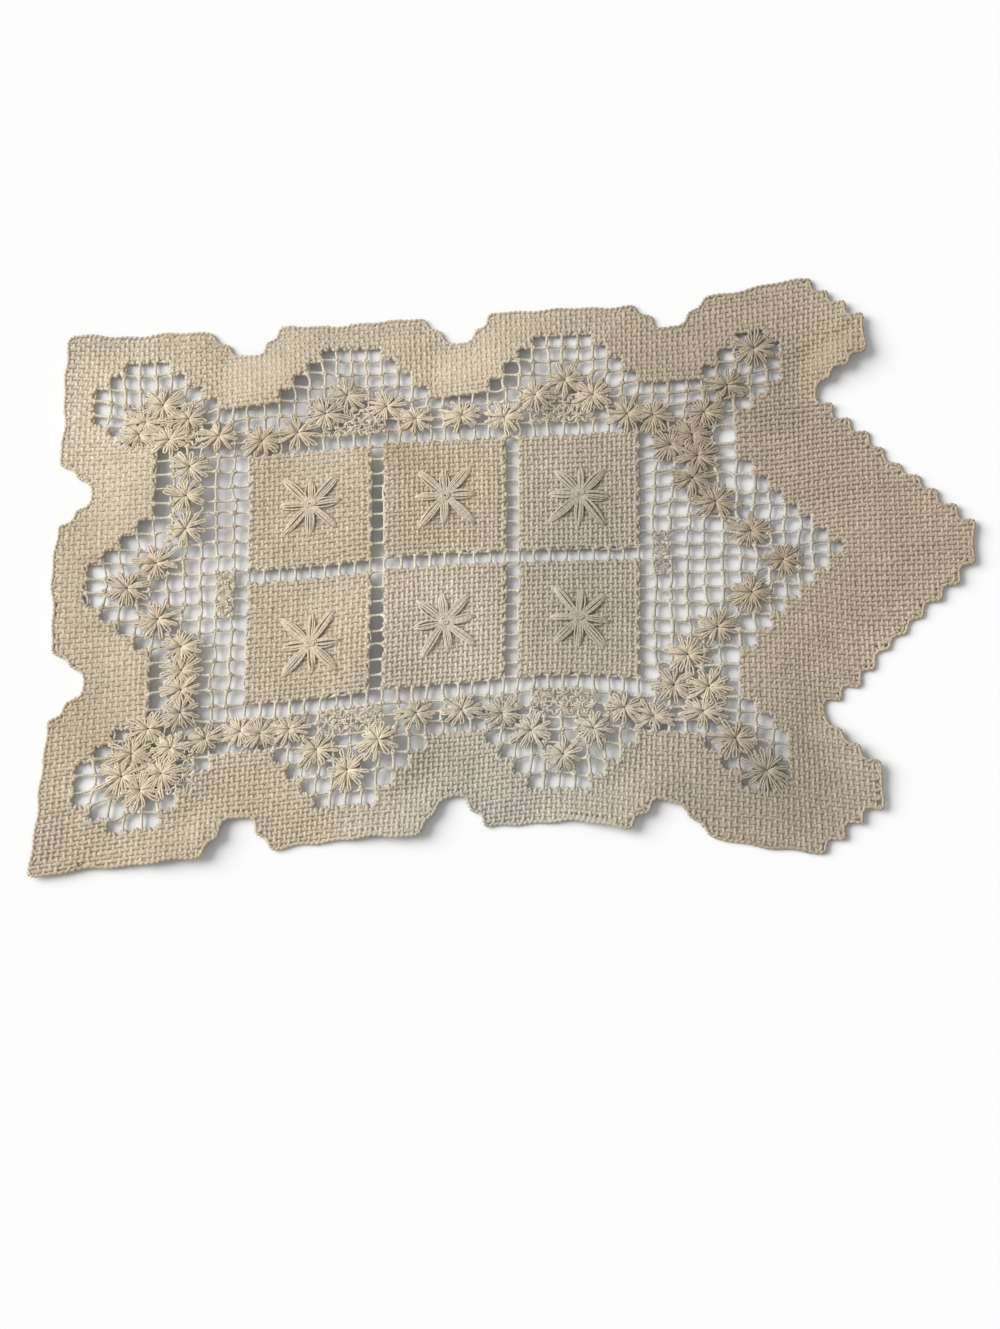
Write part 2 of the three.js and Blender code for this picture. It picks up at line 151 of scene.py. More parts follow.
def layAt(column, row):
    # the spread place, moved across by the drags
    x, y = spreadAt(column, row)
    shift = sum(across * hump(x, y, *spreadAt(atColumn, atRow), reach)
                for atColumn, atRow, across, reach in drags)
    return x, y + shift


def stairs(start, end, steps, tread=0):
    # corner points of a flight of equal stairs, without its first point
    share = np.linspace(0, 1, steps + 1)
    column, row = (a + (b - a) * share for a, b in zip(start, end))
    corners = np.empty((2 * steps, 2))
    corners[0::2] = np.stack([column[1:], row[:-1]] if tread else [column[:-1], row[1:]], 1)
    corners[1::2] = np.stack([column[1:], row[1:]], 1)
    return corners


def mirrored(points):
    # the far half of a closed line, then its mirror image back along the near half
    points = np.concatenate(points)
    return np.concatenate([points, points[::-1] * (1, -1)])


def cornersOnly(points):
    # drops repeated points, then points in the middle of a straight side
    points = points[np.abs(points - np.roll(points, -1, 0)).max(1) > 1e-6]
    before, after = points - np.roll(points, 1, 0), np.roll(points, -1, 0) - points
    return points[np.abs(before[:, 0] * after[:, 1] - before[:, 1] * after[:, 0]) > 1e-6]


def outerEdge():
    # corners of the outer edge, clockwise from the middle of the left end round to the point and back
    half, depth = np.array(chart["notchHalf"]), np.array(chart["notchDepth"])
    depth = np.concatenate([depth, depth[::-1]])
    left, far = chart["firstColumn"], chart["edgeRow"]
    steps = np.concatenate([-half, half[::-1]])
    points = [np.array([[left, 0.0]]), np.stack([left + depth, chart["endNotchRow"] + steps], 1),
              np.array([[left, far]])]
    points += [np.stack([middle + steps, far - depth], 1) for middle in chart["topNotches"]]
    for start, end, count in (("shoulder", "lobeTop", "lobeSteps"), ("lobeFoot", "throat", "lobeSteps"),
                              ("pointStart", "pointEnd", "pointSteps")):
        points += [np.array([chart[start]]), stairs(chart[start], chart[end], chart[count])]
    return cornersOnly(mirrored(points))


def innerEdge():
    # flights of stairs from corner to corner along the far half, then the near half
    points = [np.array([chart["innerStart"]], float)]
    for column, row, steps, tread in innerRuns:
        points.append(stairs(points[-1][-1], (column, row), steps, tread))
    return cornersOnly(mirrored(points))


def isInside(polygon, column, row):
    # even-odd rule: counts the sides that a line towards larger columns crosses
    column, row = np.broadcast_arrays(np.asarray(column, float), np.asarray(row, float))
    c, r = polygon.T
    d, s = np.roll(polygon, -1, 0).T
    inside = np.zeros(column.shape, bool)
    for k in np.nonzero(np.abs(s - r) > 1e-9)[0]:
        crosses = (r[k] > row) != (s[k] > row)
        inside ^= crosses & (column < c[k] + (d[k] - c[k]) * (row - r[k]) / (s[k] - r[k]))
    return inside


def eased(corners, step, reach):
    # a closed line through the corners at even steps, averaged twice over the reach to both sides
    closed = np.concatenate([corners, corners[:1]])
    at = np.concatenate([[0], np.cumsum(np.linalg.norm(np.diff(closed, axis=0), axis=1))])
    samples = int(at[-1] / step)
    along = np.arange(samples) * at[-1] / samples
    line = np.stack([np.interp(along, at, closed[:, k]) for k in (0, 1)], 1)
    window = range(-round(reach / step), round(reach / step) + 1)
    for _ in range(2):
        line = np.mean([np.roll(line, k, 0) for k in window], axis=0)
    return line


def inward(line, by):
    # each point of a closed clockwise line moves along its inward normal
    run = np.roll(line, -1, 0) - np.roll(line, 1, 0)
    run /= np.linalg.norm(run, axis=1)[:, None]
    return line + by * np.stack([run[:, 1], -run[:, 0]], 1)


outer, inner = outerEdge(), innerEdge()
# The hem follows the stairs closely at the point, rounds them off elsewhere, and strays a little in and
# out. In meshes: step between samples, reach of the averaging at the point and elsewhere, columns between
# which one becomes the other, how far in the yarns turn and the felt ends; waves are times round the edge,
# size and phase
hem = dict(step=0.08, reach=0.36, roundReach=0.52, roundUpTo=(28, 36), clothInset=0.28, feltInset=0.2,
           waves=((23, 0.07, 1.0), (41, 0.06, 2.3), (97, 0.05, 4.0)))


def hemPath():
    # two eased lines mixed by column, then moved in or out by a sum of sines
    close, wide = (eased(outer, hem["step"], hem[key]) for key in ("reach", "roundReach"))
    first, last = hem["roundUpTo"]
    share = np.clip((close[:, :1] - first) / (last - first), 0, 1)
    line = wide + (close - wide) * share
    turn = roundTurn(len(line))
    stray = sum(size * np.sin(times * turn + phase) for times, size, phase in hem["waves"])
    return inward(line, stray[:, None])


hemLine = hemPath()
clothLine, feltLine = (inward(hemLine, hem[key])[::2] for key in ("clothInset", "feltInset"))
outlineX, outlineY = layAt(*outer.T)
cellColumns = np.arange(chart["firstColumn"], chart["pointColumn"])
cellRows = np.arange(-int(chart["edgeRow"]), int(chart["edgeRow"]) + 1)


def inSquare(column, row):
    # true inside one of the six squares, which lie in two rows beside the middle strip
    up = np.abs(row) - chart["stripHalf"]
    beside = np.zeros(np.broadcast(column, row).shape, bool)
    for first in chart["squareColumns"]:
        beside |= (column > first) & (column < first + chart["squareSide"])
    return beside & (up > 0) & (up < chart["squareSide"])


cellMiddle = np.meshgrid(cellColumns + 0.5, cellRows, indexing="ij")
openCells = isInside(inner, *cellMiddle) & ~inSquare(*cellMiddle)
padded = np.pad(openCells, 1)  # with a border of closed meshes


def isCloth(column, row, edge):
    # true inside the edge where the mesh isn't left open
    k = np.clip(np.floor(column).astype(int) - cellColumns[0], 0, len(cellColumns) - 1)
    m = np.clip(np.floor(row + 0.5).astype(int) - cellRows[0], 0, len(cellRows) - 1)
    return isInside(edge, column, row) & ~openCells[k, m]


# Distance in from the outer edge, in meshes, on a grid that is read by bilinear interpolation
edgeGrid = dict(step=1 / 3, margin=1)
gridColumns, gridRows = (np.arange(low - edgeGrid["margin"], high + edgeGrid["margin"], edgeGrid["step"])
                         for low, high in ((chart["firstColumn"], chart["pointColumn"]),
                                           (-chart["edgeRow"], chart["edgeRow"])))


def awayFromEdge():
    # the shortest distance to any side of the outline, and 0 outside it
    column, row = np.meshgrid(gridColumns, gridRows, indexing="ij")
    best = np.full(column.shape, np.inf)
    for start, end in zip(outer, np.roll(outer, -1, 0)):
        side = end - start
        east, north = column - start[0], row - start[1]
        along = np.clip((east * side[0] + north * side[1]) / (side @ side), 0, 1)
        best = np.minimum(best, np.hypot(east - along * side[0], north - along * side[1]))
    return np.where(isInside(outer, column, row), best, 0)


edgeAway = awayFromEdge()


def readGrid(grid, column, row):
    # mixes the four values round a place by how near each is; the last place is just inside the grid
    short = 1.001
    u = np.clip((column - gridColumns[0]) / edgeGrid["step"], 0, len(gridColumns) - short)
    v = np.clip((row - gridRows[0]) / edgeGrid["step"], 0, len(gridRows) - short)
    k, m = u.astype(int), v.astype(int)
    u, v = u - k, v - m
    return ((grid[k, m] * (1 - u) + grid[k + 1, m] * u) * (1 - v)
            + (grid[k, m + 1] * (1 - u) + grid[k + 1, m + 1] * u) * v)


def humps(table, x, y):
    # sum of the humps in a table, each at its chart place
    return sum(height * hump(x, y, *layAt(column, row), reach) for column, row, height, reach in table)


middleX, middleY = (outlineX.min() + outlineX.max()) / 2, (outlineY.min() + outlineY.max()) / 2


def smooth(share):
    # 3 * u squared - 2 * u cubed, which starts and ends level
    u = np.clip(share, 0, 1)
    return u * u * (3 - 2 * u)


def place(column, row, height):
    # a chart place and a height over the lying cloth become a point in metres
    x, y = layAt(column, row)
    away = readGrid(edgeAway, *np.broadcast_arrays(column, row))
    stand = humps(rimLifts, x, y) * smooth(1 - away / rim["meshes"])
    stand = stand + rim["belly"] * smooth(away / rim["bellyMeshes"]) + humps(swells, x, y)
    return np.stack(np.broadcast_arrays(x - middleX, y - middleY, height + stand), -1) * mm


def around(middles, out, sideways, angle, flat, height):
    # places out along an angle and sideways from it, in mm from chart places; flat is the share of that
    # distance which is left across the runner
    east = out * np.cos(angle) - sideways * np.sin(angle)
    north = (out * np.sin(angle) + sideways * np.cos(angle)) * flat
    pitch = chart["meshPitch"]
    return place(middles[:, :1] + east / pitch, middles[:, 1:] + north / pitch, height)


def unit(vectors):
    # each vector at length 1, and a vector of no length as it is
    return vectors / np.maximum(np.linalg.norm(vectors, axis=-1, keepdims=True), 1e-12)


def carry(path, wide, tall, sides, keep=None, tone=0.0, closed=False):
    # an ellipse is carried square to each path: point = path + side * wide * cos(angle) + lid * tall *
    # sin(angle); path is (count, samples, 3) in metres, wide and tall are half sizes in mm, and keep says
    # which samples are used
    count, samples = path.shape[:2]

    def allRound(values):
        values = values if np.ndim(values) == 3 else np.broadcast_to(values, (count, samples))[..., None]
        return np.broadcast_to(values, (count, samples, sides))

    keep = np.ones((count, samples), bool) if keep is None else keep
    follows = np.roll(keep, -1, 1)
    follows[:, -1] &= closed
    joined = keep & follows
    step = (np.roll(path, -1, 1) - path) * joined[..., None]
    run = unit(step + np.roll(step, 1, 1))
    side = unit(np.cross((0.0, 0.0, 1.0), run))
    lid = np.cross(run, side)
    angle = roundTurn(sides) + math.pi / 2
    cosine, sine = np.cos(angle), np.sin(angle)
    points = (path[:, :, None] + side[:, :, None] * (allRound(wide) * cosine * mm)[..., None]
              + lid[:, :, None] * (allRound(tall) * sine * mm)[..., None])[keep]
    number = np.zeros((count, samples), int)
    number[keep] = np.arange(keep.sum()) * sides
    k = np.arange(sides)
    after = (k + 1) % sides
    here, there = number[joined][:, None], np.roll(number, -1, 1)[joined][:, None]
    quads = np.stack([here + k, here + after, there + after, there + k], -1).reshape(-1, 4)
    starts, ends = keep & ~np.roll(joined, 1, 1), keep & ~joined
    caps = np.concatenate([number[starts][:, None] + k[::-1], number[ends][:, None] + k])
    length = np.cumsum(np.linalg.norm(step, axis=-1), 1) / mm
    strand = np.stack(np.broadcast_arrays(length[..., None], cosine, sine), -1)[keep]
    return dict(points=points.reshape(-1, 3), quads=quads, caps=caps,
                strand=strand.reshape(-1, 3), tone=allRound(tone)[keep].ravel())


def addObject(name, data):
    made = bpy.data.objects.new(name, data)
    bpy.context.scene.collection.objects.link(made)
    return made


def makePiece(name, tubes, material):
    # joins tubes into one mesh, with the yarn's own places as attributes and a map seen from above
    points = np.concatenate([tube["points"] for tube in tubes])
    firsts = np.cumsum([0] + [len(tube["points"]) for tube in tubes])
    faces = [tube[kind] + first for tube, first in zip(tubes, firsts)
             for kind in ("quads", "caps") if len(tube[kind])]
    corners = np.concatenate([f.ravel() for f in faces]).astype(np.int32)
    sizes = np.concatenate([np.full(len(f), f.shape[1]) for f in faces])
    starts = np.concatenate([[0], np.cumsum(sizes)[:-1]]).astype(np.int32)
    mesh = bpy.data.meshes.new(name)
    mesh.vertices.add(len(points))
    mesh.vertices.foreach_set("co", points.astype(np.float32).ravel())
    mesh.loops.add(len(corners))
    mesh.loops.foreach_set("vertex_index", corners)
    mesh.polygons.add(len(starts))
    mesh.polygons.foreach_set("loop_start", starts)
    mesh.polygons.foreach_set("use_smooth", np.ones(len(starts), bool))
    mesh.update(calc_edges=True)
    for key, kind, field in (("strand", "FLOAT_VECTOR", "vector"), ("tone", "FLOAT", "value")):
        values = np.concatenate([tube[key] for tube in tubes]).astype(np.float32)
        mesh.attributes.new(key, kind, "POINT").data.foreach_set(field, values.ravel())
    flat = (points[:, :2] - points[:, :2].min(0)) / np.ptp(points[:, :2], axis=0)
    mapped = mesh.uv_layers.new(name="OFBake")
    mapped.uv.foreach_set("vector", flat[corners].astype(np.float32).ravel())
    mesh.materials.append(material)
    piece = addObject(name, mesh)
    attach(piece, "root")
    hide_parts("runner")
    print(name, "triangles", int((sizes - 2).sum()))
    return piece


def wander(lines, samples, every, size):
    # a hand's unevenness: random values every few samples, eased into each other by half a cosine
    knots = rng.normal(0, size, (lines, samples // every + 2))
    at = np.arange(samples) / every
    k = at.astype(int)
    ease = 0.5 - 0.5 * np.cos(math.pi * (at - k))
    return knots[:, k] * (1 - ease) + knots[:, k + 1] * ease


# Materials


def linear(hexColour):
    # sRGB hex to the linear values that shaders take
    channels = np.array([int(hexColour[k:k + 2], 16) / 255 for k in (1, 3, 5)])
    bright = ((channels + 0.055) / 1.055) ** 2.4
    return (*np.where(channels <= 0.04045, channels / 12.92, bright), 1.0)


def addNode(tree, kind, inputs=None, output=0, **settings):
    # sets a new node's properties, links or sets its inputs and gives back one of its outputs
    node = tree.nodes.new("ShaderNode" + kind)
    for key, value in settings.items():
        setattr(node, key, value)
    for key, value in (inputs or {}).items():
        if isinstance(value, bpy.types.NodeSocket):
            tree.links.new(value, node.inputs[key])
        else:
            node.inputs[key].default_value = value
    return node.outputs[output] if len(node.outputs) else None


def newMaterial(name):
    material = bpy.data.materials.new(name)
    material.use_nodes = True
    material.node_tree.nodes.clear()
    return material, material.node_tree


# Age and handling: middle of each stain as a chart place, its reach in mm, strength and colour
stains = (
    (9.6, 8, 22, 0.5, "#a48b64"), (-10, -9, 26, 0.4, "#ab9069"), (38.5, 13, 20, 0.25, "#a08a68"),
    (-2, 17.6, 16, 0.25, "#ad9670"), (1, 11, 30, 0.3, "#b79f78"),
)
# Broad differences in shade over the cloth: chart place, reach in mm, strength and colour
shades = (
    (-8, 14, 70, 0.6, "#d8cab3"), (-10, -1, 60, 0.4, "#b3a48b"), (32, 13, 120, 0.85, "#9f927d"),
    (44, 0, 110, 0.8, "#a79782"), (34, -15, 90, 0.85, "#978d7f"), (18, -17, 95, 0.8, "#b3afa4"),
    (22.5, -4, 62, 0.7, "#9a968b"), (22, 4.5, 45, 0.6, "#aaa493"), (13, -4.5, 42, 0.6, "#d4cab8"),
    (35, -5, 60, 0.5, "#9d8f7b"),
)
# The flowers towards the point are browner and the bare net there is greyer; the felt that shows
# between the yarns, painted shade in those gaps, is paler at the left and the far side and darker on the
# right-hand squares
flowerShades = ((33, 0, 105, 0.55, "#a1917a"),)
netShades = ((34, 0, 105, 0.9, "#bbb6ac"), (30, -9, 60, 0.6, "#bbb6ac"))
paintedGapShades = (
    (-9, 13, 125, 1.0, "#d0c2a7"), (-9, -1, 90, 0.9, "#bfb196"), (8, 17, 110, 0.9, "#cdbfa4"),
    (22, 17, 100, 0.8, "#cdbfa4"), (20, 0, 80, 0.9, "#857660"),
)
cotton = dict(
    grains=((0.6, 2.0, 0.22), (2.2, 1.0, 0.22), (14, 4.0, 0.14)),  # fibres, slubs, patches: mm, detail, tone
    grainFrom=(0.25, 0.75),  # the part of a noise's range that the tone is spread over
    shadeFade=(1.4, 0.4), shadeBend=0.8, shadeDetail=3.0,  # a shade's rim, as shares of its reach
    litFrom=(-1.0, 0.7), lit=1.04,  # painted light and shade: the yarn lightens from its underside up to here, to this
    plyRelief=0.4, bump=0.5, bumpDepth=0.2,  # plies against fibres, strength, mm
    roughness=0.92, ior=1.5, specular=0.2, sheen=0.2, sheenRoughness=0.5,
)


def cottonYarn(name, base, paintedUnderShade, twistLength, more=(), plyShare=0.08):
    # soft plied mercerised cotton gone ecru with age: matt, a faint sheen of fibres, plies that show as
    # slanting ridges along each yarn, painted shade on each yarn's underside, and an uneven tone from yarn
    # to yarn
    material, tree = newMaterial(name)
    coords = addNode(tree, "TexCoord", output="Object")
    colour = linear(base)
    for column, row, reach, strength, hexColour in shades + stains + more:
        x, y = layAt(column, row)
        spot = ((float(x) - middleX) * mm, (float(y) - middleY) * mm, 0)
        rimFrom, rimTo = (share * reach * mm for share in cotton["shadeFade"])
        wavy = addNode(tree, "TexNoise", {"Vector": coords, "Scale": 1 / (reach * mm),
                                          "Detail": cotton["shadeDetail"]}, "Fac")
        away = addNode(tree, "VectorMath", {0: coords, 1: spot}, "Value", operation="DISTANCE")
        bent = addNode(tree, "Math", {0: wavy, 1: cotton["shadeBend"] * reach * mm, 2: away},
                       operation="MULTIPLY_ADD")
        share = addNode(tree, "MapRange", {"Value": bent, "From Min": rimFrom, "From Max": rimTo,
                                           "To Min": 0.0, "To Max": strength},
                        interpolation_type="SMOOTHSTEP")
        colour = addNode(tree, "Mix", {"Factor": share, 6: colour, 7: linear(hexColour)}, 2,
                         data_type="RGBA")
    tone = addNode(tree, "Attribute", output="Fac", attribute_name="tone")
    strand = addNode(tree, "Attribute", output="Vector", attribute_name="strand")
    along, beside, above = addNode(tree, "SeparateXYZ", {0: strand}).node.outputs
    grains = [addNode(tree, "TexNoise", {"Vector": coords, "Scale": 1 / (size * mm),
                                         "Detail": detail}, "Fac")
              for size, detail, share in cotton["grains"]]
    # plies: sine of (turns along the yarn plus the angle round it), from the stored cosine and sine
    turn = addNode(tree, "Math", {0: along, 1: 2 * math.pi / twistLength}, operation="MULTIPLY")
    sine, cosine = (addNode(tree, "Math", {0: turn}, operation=kind) for kind in ("SINE", "COSINE"))
    first = addNode(tree, "Math", {0: sine, 1: beside}, operation="MULTIPLY")
    plies = addNode(tree, "Math", {0: cosine, 1: above, 2: first}, operation="MULTIPLY_ADD")
    # painted shade: each yarn is darker on its underside and a little lighter on top, as light falls on it
    under, over = cotton["litFrom"]
    low = addNode(tree, "MapRange", {"Value": above, "From Min": under, "From Max": over,
                                     "To Min": paintedUnderShade, "To Max": cotton["lit"]})
    light = addNode(tree, "Math", {0: tone, 1: low}, operation="ADD")
    light = addNode(tree, "Math", {0: plies, 1: plyShare, 2: light}, operation="MULTIPLY_ADD")
    least, most = cotton["grainFrom"]
    for grain, (size, detail, share) in zip(grains, cotton["grains"]):
        spread = addNode(tree, "MapRange", {"Value": grain, "From Min": least, "From Max": most,
                                            "To Min": -share / 2, "To Max": share / 2})
        light = addNode(tree, "Math", {0: light, 1: spread}, operation="ADD")
    shade = addNode(tree, "VectorMath", {0: colour, "Scale": light}, operation="SCALE")
    relief = addNode(tree, "Math", {0: plies, 1: cotton["plyRelief"], 2: grains[0]},
                     operation="MULTIPLY_ADD")
    bump = addNode(tree, "Bump", {"Height": relief, "Strength": cotton["bump"],
                                  "Distance": cotton["bumpDepth"] * mm})
    shader = addNode(tree, "BsdfPrincipled", {
        "Base Color": shade, "Normal": bump, "Roughness": cotton["roughness"], "IOR": cotton["ior"],
        "Specular IOR Level": cotton["specular"], "Sheen Weight": cotton["sheen"],
        "Sheen Roughness": cotton["sheenRoughness"]})
    addNode(tree, "OutputMaterial", {"Surface": shader})
    return material


# Colour, brightness of the painted shade on its underside, mm to a turn of the plies, shades of its own, how
# far the plies show
darningCotton = cottonYarn("darningCotton", "#c0b39c", 0.88, 2.4)
flowerCotton = cottonYarn("flowerCotton", "#d0c3aa", 0.78, 2.6, flowerShades, 0.12)
starCotton = cottonYarn("starCotton", "#cec2ab", 0.78, 2.0)
netThread = cottonYarn("netThread", "#cbc2b0", 0.75, 1.6, netShades)
# painted shade: the felt's darker tan is what darkens the gaps between the yarns
fibresAndGapShade = cottonYarn("fibresAndGapShade", "#b4a48a", 0.95, 2.4, paintedGapShades)
print("materials made")

# Cloth stitch: yarns darned over and under, about three to a mesh each way. Half sizes, crimp and height of
# the middle are in mm, and uneven values are how many samples apart they are drawn and how large they are
weave = dict(
    halfWidth=0.87, halfHeight=0.48, crimp=0.26, middle=1.12, sides=5,
    drift=(9, 0.028),  # meshes that a yarn strays sideways
    width=(7, 0.1), lump=(4, 0.12), tone=(24, 0.02),  # shares of its width, its crimp and its tone
    yarnTone=0.012,  # difference in tone from yarn to yarn
    turnAlong=(0.11, 0.155),  # a turn round the edge: meshes out
    turnAcross=(0.4, 1.0),  # and share of half a pitch across
    longer=(0.9, 1.45),  # and how much farther out some turns lie
)
# Sets of yarns, some darned closer than others: first and last row (along the runner) or column (across
# it), how many yarns, the sets that they cross, whether the first one starts under or over, mm that they
# lie higher, and share of the width; wider yarns lie flatter
alongSets = dict(
    Near=(-18.5, -9.5, 32, ("Left", "Centre", "Right"), 0, 0.04, 1.0),
    Middle=(-9.5, 9.5, 57, ("Left", "Centre"), 0, 0.05, 0.92),
    Point=(-9.5, 9.5, 65, ("Right",), 0, 0.12, 1.0),
    Far=(9.5, 18.5, 28, ("Left", "Centre", "Right"), 1, 0.02, 1.24),
)
acrossSets = dict(
    Left=(-12, 10, 66, ("Near", "Middle", "Far"), 0, -0.04, 1.22),
    Centre=(10, 32, 66, ("Near", "Middle", "Far"), 0, -0.04, 0.97),
    Right=(32, 47, 47, ("Near", "Point", "Far"), 0, -0.07, 1.0),
)


def yarnPlaces(low, high, count, *rest):
    # middles of equal strips
    return low + (high - low) * (np.arange(count) + 0.5) / count


def darnedYarns(low, high, count, crossed, starts, higher, wider, others, alongRunner):
    # straight lines on the chart, sampled at each crossing and half way to the next; height is
    # crimp * cos(pi * (crossing + line)), and each end turns a quarter circle towards the next yarn, so
    # that two neighbours close into one turn
    pad = len(weave["turnAlong"]) + 1
    crossings = np.concatenate([yarnPlaces(*others[name]) for name in crossed])
    ends = [others[crossed[0]][0]], [others[crossed[-1]][1]]
    between = np.concatenate([ends[0], (crossings[1:] + crossings[:-1]) / 2, ends[1]])
    along = np.empty(2 * len(crossings) + 1)
    along[0::2], along[1::2] = between, crossings
    along = np.pad(along, pad, mode="edge")
    samples, index = len(along), np.arange(len(along)) - pad
    runAt = np.tile(along, (count, 1))
    lineAt = np.tile(yarnPlaces(low, high, count)[:, None], (1, samples))
    nudge = 1e-4  # meshes to both sides, so that a sample on a border counts as outside

    def ordered(run, line):
        return (run, line) if alongRunner else (line, run)

    keep = (isCloth(*ordered(runAt - nudge, lineAt), clothLine)
            & isCloth(*ordered(runAt + nudge, lineAt), clothLine))
    keep[:, :pad + 1] = keep[:, -pad - 1:] = False
    sign = 1 if alongRunner else -1
    phase = (index - 1) / 2 + starts + np.arange(count)[:, None]
    crimp = sign * weave["crimp"] / wider * np.cos(math.pi * phase)
    lineAt = lineAt + wander(count, samples, *weave["drift"])
    lineAt = lineAt + rng.normal(0, weave["drift"][1] / 2, (count, 1))
    crimp = crimp * (1 + wander(count, samples, *weave["lump"]))
    wide = wider * weave["halfWidth"] * (1 + wander(count, samples, *weave["width"]))
    tone = wander(count, samples, *weave["tone"]) + rng.normal(0, weave["yarnTone"], (count, 1))
    towards = np.where(np.arange(count) % 2 == 0, 1, -1)
    core, halfPitch = keep.copy(), (high - low) / (2 * count)
    for way in (1, -1):
        line, at = np.nonzero(core & ~np.roll(core, -way, 1))
        longer = rng.uniform(*weave["longer"], len(line))
        for k, (out, across) in enumerate(zip(weave["turnAlong"], weave["turnAcross"]), 1):
            spot = line, at + way * k
            runAt[spot] = runAt[line, at] + way * out * longer
            lineAt[spot] = lineAt[line, at] + way * towards[line] * across * halfPitch
            crimp[spot] = crimp[line, at] * (1 - across)
            wide[spot] = wide[line, at]
            keep[spot] = True
    path = place(*ordered(runAt, lineAt), weave["middle"] + higher + crimp)
    return path, keep, wide, tone


def clothStitch():
    # each set is one piece; half height = half width * the usual ratio / share of the width squared
    for way, sets, others in (("Along", alongSets, acrossSets), ("Across", acrossSets, alongSets)):
        for name, values in sets.items():
            path, keep, wide, tone = darnedYarns(*values, others, way == "Along")
            tall = wide * weave["halfHeight"] / weave["halfWidth"] / values[-1] ** 2
            yarns = carry(path, wide, tall, weave["sides"], keep, tone)
            makePiece("yarns" + way + name, [yarns], darningCotton)


clothStitch()

# Ground: a thin felt below the darned yarns, standing for the net's own threads and loose fibres there, its
# darker tan painted shade in the gaps between the yarns. Step in meshes, height and thickness in mm, and
# rises
# where it fills the weave more: column, row, mm, reach in mm
ground = dict(step=0.5, height=1.12, drawnIn=0.5, thickness=0.25,
              rises=((-9, 4, 0.1, 190), (12, 18, 0.07, 130)))


def groundSheet():
    # half-mesh squares under the cloth; a corner on the cloth's edge moves in towards the squares that it
    # touches
    step = ground["step"]
    column, row = np.meshgrid(np.arange(chart["firstColumn"], chart["pointColumn"] + step / 2, step),
                              np.arange(-chart["edgeRow"], chart["edgeRow"] + step / 2, step), indexing="ij")
    filled = isCloth(column[:-1, :-1] + step / 2, row[:-1, :-1] + step / 2, feltLine)
    touch, pull = np.zeros(column.shape), np.zeros((2, *column.shape))
    for k in (0, 1):
        for m in (0, 1):
            part = (slice(k, k + filled.shape[0]), slice(m, m + filled.shape[1]))
            touch[part] += filled
            pull[0][part] += filled * (0.5 - k) * step
            pull[1][part] += filled * (0.5 - m) * step
    used = touch > 0
    pull *= ground["drawnIn"] / np.maximum(touch, 1)
    height = ground["height"] + humps(ground["rises"], *layAt(column, row))
    points = place(column + pull[0], row + pull[1], height)[used]
    number = np.zeros(column.shape, int)
    number[used] = np.arange(used.sum())
    quads = np.stack([number[:-1, :-1], number[1:, :-1], number[1:, 1:], number[:-1, 1:]], -1)[filled]
    corner = points[quads][..., :2]
    area = 0.5 * np.abs(np.cross(corner[:, 2] - corner[:, 0], corner[:, 3] - corner[:, 1])).sum()
    felt = dict(points=points, quads=quads, caps=np.zeros((0, 4), int),
                strand=np.tile((0.0, 0.0, 1.0), (len(points), 1)), tone=np.zeros(len(points)))
    piece = makePiece("feltAndGapShade", [felt], fibresAndGapShade)
    thick = piece.modifiers.new("thickness", "SOLIDIFY")
    thick.thickness = ground["thickness"] * mm
    thick.offset = 0
    return piece, float(area)


feltPiece, feltArea = groundSheet()

# Overcast edge: close slanting stitches round the outline. Inset in meshes, the rest in mm, and tone as
# samples apart and size
edging = dict(inset=0.15, half=0.74, middle=1.05, stitch=2.2, bulge=0.28, sides=7, tone=(12, 0.05))


def overcastEdge():
    # a round profile carried once round the hem; radius = half * (1 + bulge * cos(stitches + angle))
    line = inward(hemLine, edging["inset"])
    samples, angle = len(line), roundTurn(edging["sides"])
    path = place(line[:, 0], line[:, 1], edging["middle"])[None]
    stitches = round(samples * hem["step"] * chart["meshPitch"] / edging["stitch"])
    phase = stitches * roundTurn(samples)
    half = edging["half"] * (1 + edging["bulge"] * np.cos(phase[:, None] + angle))[None]
    tone = wander(1, samples, *edging["tone"])
    stitched = carry(path, half, half, edging["sides"], tone=tone, closed=True)
    makePiece("overcastEdge", [stitched], darningCotton)


overcastEdge()

# Daisies: a ring of long loops with a ring of shorter ones on top, all drawn through one knot, over a flat
# pad; sizes in mm
daisy = dict(
    reach=9.2, start=0.5, spread=0.62, half=0.43, samples=12, sides=5,
    rings=((13, 1.0, 0.0), (6, 0.66, 0.22)),  # how many loops, share of the reach, mm higher
    blunt=0.65,  # lower powers make blunter tips
    tip=1.25, middle=1.75, arch=0.35, wobble=0.14, wobbleTurns=5,
    flatten=0.94,  # share of its width across the runner
    flowerSizes=(0.94, 1.07), flowerTurn=0.3, flowerTone=0.04,
    loopSizes=(0.78, 1.1), loopSpreads=(0.7, 1.2), loopArches=(0.4, 1.5),
    loopTurn=0.1, loopBend=0.1, loopLift=0.1, loopTone=0.06, wobbleStart=3,
    padRadius=2.9, padHalf=3.0, padTall=0.25, padMiddle=1.1, padPaintedShade=-0.06, padSamples=14, padSides=6,
)
